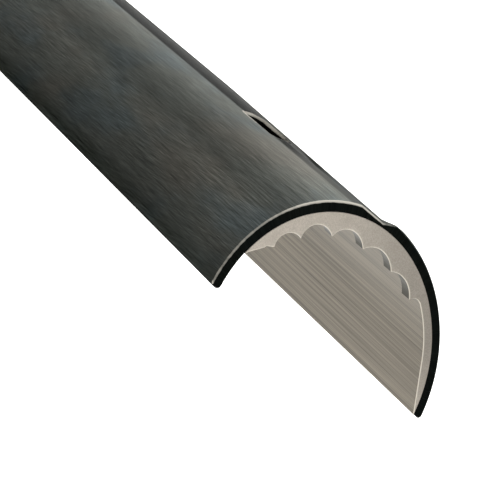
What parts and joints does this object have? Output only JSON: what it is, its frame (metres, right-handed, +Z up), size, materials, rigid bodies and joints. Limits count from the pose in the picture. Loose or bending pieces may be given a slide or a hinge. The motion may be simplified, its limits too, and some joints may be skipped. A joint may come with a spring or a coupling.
{
  "type": "half-round clay cutter",
  "caption": "Half-round clay modeling tool: raked steel channel with a scoring comb in its mouth, on an eight-sided wooden handle.",
  "frame": {"origin": "under the middle of the tool's length, on the surface that it lies on", "axes": "+X along the tool to its mouth, +Y across it, +Z up to the crown"},
  "size_m": [0.2364, 0.028, 0.028],
  "materials": {
    "blackened_steel": "blackened and brushed lengthwise",
    "bare_steel": "bare, brushed lengthwise, blasted on its end",
    "aluminium": "turned",
    "zinc_steel": "zinc plated",
    "walnut": "oiled",
    "fibre": "pressed fibre"
  },
  "bodies": {
    "root": {"outer_shell": "blackened_steel", "serrated_liner": "bare_steel", "tang_block": "aluminium", "blade_rivets": "bare_steel", "ferrule": "blackened_steel", "ferrule_pins": "bare_steel", "tang_rod": "zinc_steel", "handle": "walnut", "cap_washer": "fibre", "end_cap": "blackened_steel"}
  },
  "joints": []
}
